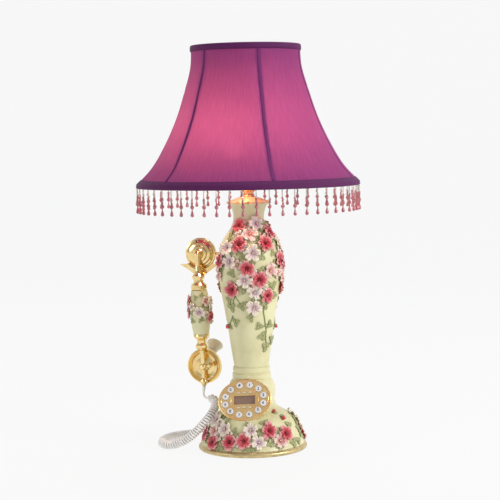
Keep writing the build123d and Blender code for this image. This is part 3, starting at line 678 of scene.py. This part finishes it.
# ---------------------------------------------------------------- flowers and leaves
ROSE_PAINT = [(0.0, (0.16, 0.003, 0.008)), (0.22, (0.36, 0.008, 0.020)), (0.5, (0.60, 0.050, 0.070)),
              (0.8, (0.78, 0.22, 0.23)), (1.0, (0.90, 0.52, 0.48))]
PALE_PAINT = [(0.0, (0.26, 0.12, 0.26)), (0.2, (0.50, 0.32, 0.44)), (0.42, (0.76, 0.58, 0.56)),
              (0.7, (0.86, 0.74, 0.60)), (1.0, (0.92, 0.85, 0.66))]
PINK_PAINT = [(0.0, (0.30, 0.02, 0.05)), (0.3, (0.66, 0.26, 0.26)), (0.7, (0.86, 0.58, 0.50)),
              (1.0, (0.92, 0.78, 0.64))]
LEAF_PAINT = [(0.0, (0.50, 0.50, 0.22)), (0.4, (0.24, 0.26, 0.085)), (0.8, (0.33, 0.35, 0.12)),
              (1.0, (0.56, 0.56, 0.28))]


FULL_TURN = 6.28                  # radians, near enough for a random heading


def shade_of(stops, at):
    for (a, first), (b, second) in zip(stops, stops[1:]):
        if at <= b:
            t = max(0.0, (at - a) / (b - a))
            return tuple(x + (y - x) * t for x, y in zip(first, second))
    return stops[-1][1]


def surface_turn(normal, spin):
    """Turns a flower drawn on the XY plane so that it stands on a surface."""
    return normal.to_track_quat("Z", "Y").to_matrix() @ Matrix.Rotation(spin, 3, "Z")


def flower(pieces, at, normal, radius, stops, rng):
    """Ruffled petals in a dished whorl, with stamens. An open rose has a second whorl inside."""
    spin = rng.uniform(0, 2 * math.pi)
    whorl(pieces, at, normal, radius, stops, rng, spin, 0.0, 1.0)
    if stops is ROSE_PAINT:
        inner = at + normal * radius * 0.10
        whorl(pieces, inner, normal, radius * 0.68, stops, rng, spin + 0.63, 0.16, 0.72)
    tone = (0.80, 0.62, 0.26) if stops is not ROSE_PAINT else (0.22, 0.006, 0.012)
    for _ in range(5):
        out = surface_turn(normal, 0) @ Vector((rng.uniform(-1, 1), rng.uniform(-1, 1), 0)) * radius * 0.10
        grain, faces = seed(at + out + normal * radius * 0.30, radius * 0.05, radius * 0.08, 6)
        pieces.add(grain, faces, [tone] * len(grain))


PETALS, RINGS, PER_PETAL = 5, 7, 11


def whorl(pieces, at, normal, radius, stops, rng, spin, cup, depth):
    """One ring of petals, closed underneath: cup lifts its edge, depth scales its colour stops."""
    around = PETALS * PER_PETAL
    turn = surface_turn(normal, spin)
    sizes = [rng.uniform(0.86, 1.10) for _ in range(PETALS)]
    lifts = [rng.uniform(-0.08, 0.12) for _ in range(PETALS)]
    wave = rng.uniform(0, 6)
    verts, colours = [], []
    for under in (False, True):
        for ring in range(RINGS + 1):
            share = ring / RINGS
            for k in range(around):
                angle = 2 * math.pi * k / around
                petal = k // PER_PETAL
                middle = abs(2 * (k % PER_PETAL) / (PER_PETAL - 1) - 1)
                r = radius * share * (1 - 0.34 * middle ** 3 * share) * sizes[petal]
                r -= radius * 0.07 * math.exp(-(middle / 0.2) ** 2) * share ** 4
                ruffle = 0.085 * share ** 2 * math.sin(angle * PETALS * 2.6 + wave)
                lap = 0.13 * share * (1 if k % PER_PETAL < PER_PETAL / 2 else -1) * middle ** 2
                dish = 0.10 + (0.40 + cup) * share ** 1.2 - 0.24 * share ** 4 + lifts[petal] * share
                height = radius * (dish + ruffle + lap - 0.10 * middle ** 4 * share)
                if under:
                    height = max(height - 0.0007, -0.0003) * min(1.0, 0.1 + share) if ring else -0.0003
                verts.append(at + turn @ Vector((r * math.cos(angle), r * math.sin(angle), height)))
                vein = 1.0 - 0.20 * math.exp(-(middle / 0.18) ** 2) * (1 - share) - 0.10 * (k % 3 == 1)
                tone = shade_of(stops, min(1.0, share * depth * (1.06 - 0.14 * middle)))
                colours.append(tuple(c * vein for c in tone))
    shift = (RINGS + 1) * around
    faces = both_sides(grid_faces(RINGS + 1, around, True), shift)
    rim = RINGS * around
    faces += [(rim + k, rim + (k + 1) % around, shift + rim + (k + 1) % around, shift + rim + k)
              for k in range(around)]
    pieces.add(verts, faces, colours)


def leaf(pieces, at, normal, length, heading, rng):
    """A pointed leaf with a pale midrib, toothed edge and drooping tip."""
    rows, columns = 8, 5
    turn = surface_turn(normal, heading)
    wide = length * rng.uniform(0.30, 0.40)
    droop = rng.uniform(0.02, 0.14)
    verts, colours = [], []
    for under in (False, True):
        for row in range(rows + 1):
            along = row / rows
            half = wide * math.sin(math.pi * min(1.0, along * 0.96 + 0.04) ** 0.85) ** 0.8
            if row % 2:
                half *= 1.06
            for column in range(columns):
                side = 2 * column / (columns - 1) - 1
                height = length * (0.10 + 0.10 * abs(side) ** 1.3 - droop * along ** 2
                                   + 0.06 * math.sin(along * 3))
                if under:
                    height -= 0.0006
                verts.append(at + turn @ Vector((length * along, side * half, height)))
                tone = shade_of(LEAF_PAINT, min(1.0, abs(side) * 0.9 + 0.15 * along))
                vein = 1.0 - 0.12 * (row % 2) * (1 if abs(side) > 0.1 else 0)
                colours.append(tuple(c * vein for c in tone))
    shift = (rows + 1) * columns
    faces = both_sides(grid_faces(rows + 1, columns, False), shift)
    border = (list(range(columns))
              + [r * columns + columns - 1 for r in range(1, rows + 1)]
              + [rows * columns + c for c in range(columns - 2, -1, -1)]
              + [r * columns for r in range(rows - 1, 0, -1)])
    for a, b in zip(border, border[1:] + border[:1]):
        faces.append((b, a, a + shift, b + shift))
    pieces.add(verts, faces, colours)


def bud(pieces, at, normal, radius, rng):
    """A closed bud in its green cup."""
    turn = normal.to_track_quat("Z", "Y").to_matrix()
    tilt = turn @ Matrix.Rotation(rng.uniform(0.7, 1.1), 3, "X")
    body = [(0, -0.4), (0.45, -0.25), (0.75, 0.15), (0.70, 0.6), (0.42, 1.0), (0.16, 1.2), (0, 1.25)]
    verts, faces = lathe([(r * radius, z * radius) for r, z in body], 12, at + normal * radius * 0.5, tilt)
    pieces.add(verts, faces, [shade_of(ROSE_PAINT, 0.45 + 0.05 * (i % 6)) for i in range(len(verts))])
    cup = [(0, -0.6), (0.35, -0.5), (0.60, -0.2), (0.80, 0.15), (0.78, 0.2), (0.55, 0.0), (0, -0.1)]
    verts, faces = lathe([(r * radius, z * radius) for r, z in cup], 10, at + normal * radius * 0.5, tilt)
    pieces.add(verts, faces, [LEAF_PAINT[1][1]] * len(verts))


def outward(part, axis_point, axis):
    """The flat's normal, turned away from the axis that the piece stands round."""
    away = part["middle"] - axis_point
    away = away - axis * away.dot(axis)
    return part["normal"] if part["normal"].dot(away) > 0 else -part["normal"]


def garland(name, node, sizes, axis_point, axis, body):
    """Puts a flower with its leaves, a bud or three leaves on each small boss of a CAD node."""
    rng = random.Random(len(name))
    pieces = Pieces()
    parts = loose_parts(node)
    for part in parts:
        normal = outward(part, axis_point, axis)
        part["normal"] = normal
        at = part["middle"] - normal * 0.0005
        kind = min(sizes, key=lambda k: abs(k - part["radius"]))
        form, radius = sizes[kind]
        radius *= rng.uniform(0.92, 1.08)
        if form == "rose":
            flower(pieces, at, normal, radius, ROSE_PAINT, rng)
        elif form == "pale":
            flower(pieces, at, normal, radius, PALE_PAINT if rng.random() < 0.7 else PINK_PAINT, rng)
        elif form == "bud":
            bud(pieces, at, normal, radius, rng)
            leaf(pieces, at, normal, radius * 1.9, rng.uniform(0, FULL_TURN), rng)
        else:
            heading = rng.uniform(0, FULL_TURN)
            for swing in (0.0, rng.uniform(1.7, 2.3), rng.uniform(3.6, 4.6)):
                leaf(pieces, at, normal, radius, heading + swing, rng)
        if form in ("rose", "pale"):
            heading = rng.uniform(0, FULL_TURN)
            for swing in (0.0, rng.uniform(1.8, 2.9)):
                base = surface_turn(normal, heading + swing) @ Vector((radius * 0.62, 0, 0))
                leaf(pieces, at + base - normal * 0.0012, normal, radius * 0.66, heading + swing, rng)
    fill_between(pieces, parts, rng, max(r for _, r in sizes.values()))
    obj = pieces.build(name, PAINTED)
    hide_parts(node)
    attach(obj, body)
    return obj


# In blossom radii: how far apart two flowers are for a small one to go between them, and how far
# it stays from every boss and from the other small ones.
GAP_LEAST, GAP_MOST, BOSS_CLEAR, FILLER_CLEAR = 1.4, 2.6, 0.62, 0.9


def fill_between(pieces, parts, rng, radius):
    """Small blossoms and leaves in the gaps between neighbouring flowers."""
    placed = []
    flowers = [part for part in parts if part["radius"] > radius * 0.3]
    for i, first in enumerate(flowers):
        for second in flowers[i + 1:]:
            apart = (first["middle"] - second["middle"]).length
            if not radius * GAP_LEAST < apart < radius * GAP_MOST:
                continue
            normal = (first["normal"] + second["normal"]).normalized()
            bulge = apart * math.tan(first["normal"].angle(second["normal"]) / 4) / 2
            at = (first["middle"] + second["middle"]) / 2 + normal * (bulge - 0.0004)
            if min([(at - part["middle"]).length for part in parts] + [1]) < radius * BOSS_CLEAR:
                continue
            if min([(at - spot).length for spot in placed] + [1]) < radius * FILLER_CLEAR:
                continue
            placed.append(at)
            if rng.random() < 0.6:
                small = radius * rng.uniform(0.56, 0.70)
                flower(pieces, at, normal, small, rng.choice([PALE_PAINT, PINK_PAINT]), rng)
            heading = rng.uniform(0, FULL_TURN)
            for swing in (0.0, rng.uniform(2.2, 3.4)):
                leaf(pieces, at, normal, radius * 0.66, heading + swing, rng)


# Each vine as (height, bearing) points down the front of the vase.
VINES = [[(0.246, -42), (0.236, -45), (0.222, -45), (0.210, -41), (0.199, -37), (0.190, -33), (0.180, -33),
          (0.170, -30), (0.163, -31)],
         [(0.199, -37), (0.200, -30), (0.199, -24)], [(0.199, -37), (0.196, -45), (0.199, -52)],
         [(0.258, -104), (0.246, -106), (0.236, -112), (0.228, -116)],
         [(0.246, -106), (0.236, -98), (0.230, -94)], [(0.214, -118), (0.206, -126), (0.199, -136)]]
VINE_RADIUS, VINE_PAINT = 0.00085, (0.22, 0.28, 0.09)
HANDSET_LEAN = 1.9                # degrees, its top away from the lamp
BACK_TURN, BACK_DROP = 152.0, 0.003      # the back's vines are the front's, turned and lowered


def vines():
    """The vines on the front of the vase, and again on its back."""
    pieces = Pieces()
    for turned, drop in ((0.0, 0.0), (BACK_TURN, BACK_DROP)):
        for route in VINES:
            spots = [polar(smooth_radius(VASE, z) + 0.0005, bearing + turned, z - drop)
                     for z, bearing in route]
            verts, faces = tube(soft_line(spots, 4), VINE_RADIUS, 7)
            pieces.add(verts, faces, [VINE_PAINT] * len(verts))
    obj = pieces.build("vase_vines", PAINTED)
    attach(obj, "base")


def soft_line(points, steps):
    """Points on a rounded line through the given ones."""
    line = []
    for i in range(len(points) - 1):
        a, b, c, d = points[max(i - 1, 0)], points[i], points[i + 1], points[min(i + 2, len(points) - 1)]
        for k in range(steps):
            t = k / steps
            line.append(0.5 * ((2 * b) + (c - a) * t + (2 * a - 5 * b + 4 * c - d) * t ** 2
                               + (3 * b - a - 3 * c + d) * t ** 3))
    return line + [points[-1]]


def build_flowers():
    """The sizes give, for each boss radius, what stands on it and how large that is."""
    up = Vector((0, 0, 1))
    sizes = {0.0056: ("rose", 0.0142), 0.0048: ("pale", 0.0134), 0.0032: ("bud", 0.0044),
             0.0024: ("leaf", 0.0086)}
    garland("vase_garland", "vase_flowers", sizes, Vector((0, 0, 0)), up, "base")
    garland("foot_garland", "foot_flowers", sizes, Vector((0, 0, 0)), up, "base")
    grip_sizes = {0.0039: ("rose", 0.0104), 0.0034: ("pale", 0.0106), 0.0019: ("leaf", 0.0056)}
    low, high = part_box("handset_grip")
    middle = (Vector(low) + Vector(high)) / 2
    lean = math.radians(HANDSET_LEAN)
    axis = Vector((-math.sin(lean), 0, math.cos(lean)))
    garland("grip_garland", "grip_flowers", grip_sizes, middle, axis, "handset")
    vines()


# ---------------------------------------------------------------- key plate
def plate_axes():
    """The plate's normal from the keys' travel, and its own up from two keys in one column."""
    travel = next(j for j in frame["joints"] if j["name"] == "key_1_press")["axis"]
    normal = -Vector(travel).normalized()
    middle = {}
    for name in ("key_redial", "key_set"):
        low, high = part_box(name)
        middle[name] = (Vector(low) + Vector(high)) / 2
    up = (middle["key_redial"] - middle["key_set"]).normalized()
    return normal, up


MARK_SIZE = 0.0062


def key_marks():
    """One figure printed on each number key."""
    normal, up = plate_axes()
    turn = Matrix((up.cross(normal), up, normal)).transposed()
    for name, mark in NUMBER_KEYS.items():
        mesh = frame["nodes"][name].data
        top = max(v.co.dot(normal) for v in mesh.vertices)
        face = [v.co for v in mesh.vertices if v.co.dot(normal) > top - 1e-5]
        middle = sum(face, Vector()) / len(face)
        writing = bpy.data.curves.new(name + "_text", "FONT")
        writing.body = mark
        writing.size = MARK_SIZE
        writing.align_x, writing.align_y = "CENTER", "CENTER"
        writing.extrude = 0.00004
        writing.offset = 0.00012
        flat = as_mesh(writing)
        shift = sum((v.co for v in flat.vertices), Vector()) / len(flat.vertices)
        flat.transform(Matrix.Translation(-shift))
        flat.transform(turn.to_4x4())
        flat.transform(Matrix.Translation(middle + normal * 0.00003))
        flat.materials.clear()
        flat.materials.append(INK)
        obj = linked(name + "_mark", flat)
        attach(obj, name)


def plate_bead():
    """A raised bead round the plate's edge and a frame round the display."""
    normal, up = plate_axes()
    side = up.cross(normal)
    low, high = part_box("dial_plate")
    centre = (Vector(low) + Vector(high)) / 2
    pieces = Pieces()
    around = 120
    top = max(v.co.dot(normal) for v in frame["nodes"]["dial_plate"].data.vertices)
    centre = centre + normal * (top - centre.dot(normal))
    for a, b, r in ((0.0378, 0.0298, 0.00055), (0.0222, 0.0160, 0.0004)):
        angles = [2 * math.pi * k / around for k in range(around + 1)]
        line = [centre + side * a * math.cos(angle) + up * b * math.sin(angle) for angle in angles]
        verts, faces = tube(line, r, 8, False)
        pieces.add(verts, faces)
    obj = pieces.build("plate_bead", ROSE_GOLD)
    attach(obj, "base")


# ---------------------------------------------------------------- curly cord
# The route of the cord's middle line: handset, tail, coil, end and plug.
COIL_ROUTE = [(-0.0715, -0.0020, 0.0755), (-0.0635, -0.0040, 0.0775), (-0.0575, -0.0090, 0.0730),
              (-0.0550, -0.0220, 0.0665), (-0.0570, -0.0380, 0.0575), (-0.0670, -0.0475, 0.0445),
              (-0.0800, -0.0500, 0.0305), (-0.0960, -0.0500, 0.0175), (-0.1145, -0.0480, 0.0094),
              (-0.1310, -0.0440, 0.0073), (-0.1420, -0.0310, 0.0073), (-0.1475, -0.0110, 0.0073),
              (-0.1465, 0.0130, 0.0073), (-0.1370, 0.0340, 0.0073), (-0.1235, 0.0470, 0.0073),
              (-0.1115, 0.0525, 0.0082)]
TAIL_ROUTE = [(-0.0790, 0.0000, 0.0955), (-0.0802, -0.0006, 0.0875), (-0.0798, -0.0013, 0.0795),
              COIL_ROUTE[0]]
END_ROUTE = [COIL_ROUTE[-1], (-0.1040, 0.0560, 0.0095), (-0.0960, 0.0560, 0.0140)]
WIRE, COIL_TURN, PITCH = 0.0034, 0.0053, 0.0042      # the wire's width, a turn's radius and spacing
TURN_STEPS, STRAIGHT_STEP = 16, 0.0012               # points in a turn, and how far apart they are beside it
FADE = 0.004                                         # over which the first and last turns open
RELIEF_LENGTH, RELIEF_RADIUS, RELIEF_TAPER = 0.0075, 0.0029, 0.0009


def route_line(points):
    """Points along one NURBS spline with the route as its control points."""
    data = bpy.data.curves.new("route", "CURVE")
    data.dimensions = "3D"
    data.resolution_u = 24
    spline = data.splines.new("NURBS")
    spline.points.add(len(points) - 1)
    for spot, point in zip(spline.points, points):
        spot.co = (*point, 1.0)
    spline.order_u = 3
    spline.use_endpoint_u = True
    line = as_mesh(data)
    spots = [v.co.copy() for v in line.vertices]
    bpy.data.meshes.remove(line)
    return spots


def curly_cord():
    """The whole cord, from the handset to its plug in the back of the foot."""
    plug = plug_mouth()
    line = route_line(TAIL_ROUTE[:-1] + COIL_ROUTE + END_ROUTE[1:] + [tuple(plug)])
    begin = nearest(line, Vector(COIL_ROUTE[0]))
    end = nearest(line, Vector(COIL_ROUTE[-1]))
    spots = helix(line, begin, end)
    obj = new_object("curly_cord", *tube(spots, WIRE / 2, 10), CORD)
    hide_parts("cord_coil", "cord_tails")
    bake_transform(obj)
    relief = strain_relief(line)


def strain_relief(line):
    """A short tapered sleeve where the cord leaves the handset."""
    steps = [p for p in line if (p - line[0]).length < RELIEF_LENGTH]
    widths = [RELIEF_RADIUS - RELIEF_TAPER * k / (len(steps) - 1) for k in range(len(steps))]
    sleeve = new_object("cord_relief", *tube(steps, widths, 16), CORD)
    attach(sleeve, "handset")
    return sleeve


def nearest(line, point):
    return min(range(len(line)), key=lambda i: (line[i] - point).length)


def plug_mouth():
    """The far end of the plug's boot, its furthest point from the lamp's axis."""
    verts = [v.co for v in frame["nodes"]["cord_plug"].data.vertices]
    reach = max(Vector((v.x, v.y)).length for v in verts)
    face = [v for v in verts if Vector((v.x, v.y)).length > reach - 0.0012]
    return sum(face, Vector()) / len(face)


def helix(line, begin, end):
    """Follows the line, and winds round it between the two marked places."""
    steps = [0.0]
    for a, b in zip(line, line[1:]):
        steps.append(steps[-1] + (b - a).length)
    first, last = steps[begin], steps[end]
    samples, spots = [], []
    travel = 0.0
    while travel < steps[-1]:
        samples.append(travel)
        travel += PITCH / TURN_STEPS if first < travel < last else STRAIGHT_STEP
    samples.append(steps[-1])
    side, i = None, 0
    for travel in samples:
        while i < len(line) - 2 and steps[i + 1] < travel:
            i += 1
        share = (travel - steps[i]) / max(1e-9, steps[i + 1] - steps[i])
        point = line[i].lerp(line[i + 1], min(1.0, share))
        way = (line[min(i + 2, len(line) - 1)] - line[max(i - 1, 0)]).normalized()
        if side is None:
            side = way.orthogonal().normalized()
        side = (side - way * side.dot(way)).normalized()
        ramp = min(1.0, max(0.0, (travel - first) / FADE)) * min(1.0, max(0.0, (last - travel) / FADE))
        turn = 2 * math.pi * (travel - first) / PITCH
        out = side * math.cos(turn) + way.cross(side) * math.sin(turn)
        spots.append(point + out * (COIL_TURN * ramp * ramp * (3 - 2 * ramp)))
    return spots


# ---------------------------------------------------------------- stage, camera and lights
def stage():
    """A pale floor that curves up into a backdrop behind the lamp."""
    shader = Shader("studio_white", Roughness=0.9)
    shader.bsdf.inputs["Base Color"].default_value = (0.04, 0.04, 0.04, 1)
    shader.bsdf.inputs["Specular IOR Level"].default_value = 0.1
    shader.bsdf.inputs["Emission Color"].default_value = (1.0, 1.0, 1.0, 1)
    shader.bsdf.inputs["Emission Strength"].default_value = 0.895
    profile = [(-40.0, 0.0), (1.6, 0.0), (2.0, 0.05), (2.3, 0.25), (2.45, 0.6), (2.5, 1.2), (2.5, 4.0)]
    verts = [Vector((x, y, z - 0.0002)) for y, z in profile for x in (-12.0, 12.0)]
    floor = new_object("studio_floor", verts, grid_faces(len(profile), 2, False), shader.material)


CAMERA_BEARING, CAMERA_AWAY, EYE = 15.5, 2.376, 0.503
AIM, ROLL, LENS = (0.0012, 0.0, 0.3142), 1.1, 109.1


def camera():
    data = bpy.data.cameras.new("camera")
    data.lens, data.sensor_width = LENS, 36.0
    obj = linked("camera", data)
    bearing = math.radians(CAMERA_BEARING)
    at = Vector((CAMERA_AWAY * math.sin(bearing), -CAMERA_AWAY * math.cos(bearing), EYE))
    aim = Vector(AIM) - at
    turn = aim.to_track_quat("-Z", "Y").to_matrix().to_4x4() @ Matrix.Rotation(math.radians(-ROLL), 4, "Z")
    obj.matrix_world = Matrix.Translation(at) @ turn
    bpy.context.scene.camera = obj


def area_light(name, at, target, size, power, colour=(1, 1, 1)):
    data = bpy.data.lights.new(name, "AREA")
    data.shape, data.size, data.energy, data.color = "SQUARE", size, power, colour
    obj = linked(name, data)
    obj.location = at
    obj.rotation_euler = (Vector(target) - Vector(at)).to_track_quat("-Z", "Y").to_euler()


def lights():
    world = bpy.data.worlds.new("studio")
    world.use_nodes = True
    world.node_tree.nodes["Background"].inputs["Color"].default_value = (0.82, 0.84, 0.88, 1)
    world.node_tree.nodes["Background"].inputs["Strength"].default_value = 0.62
    bpy.context.scene.world = world
    area_light("key", (2.2, -0.5, 1.2), (0, 0, 0.22), 0.8, 36)
    area_light("fill", (-1.6, -1.4, 0.8), (0, 0, 0.25), 0.7, 6)
    area_light("top", (0.3, 0.2, 2.2), (0, 0, 0.3), 1.0, 10)
    lamp = bpy.data.lights.new("bulb_glow", "POINT")
    lamp.energy, lamp.shadow_soft_size, lamp.color = 1.0, 0.012, (1.0, 0.80, 0.56)
    glow = linked("bulb_glow", lamp)
    glow.location = BULB + Vector((-0.012, -0.038, -0.030))
    bpy.context.scene.view_settings.view_transform = "Standard"


dress_cad()
build_shade()
build_flowers()
key_marks()
plate_bead()
curly_cord()
stage()
camera()
lights()
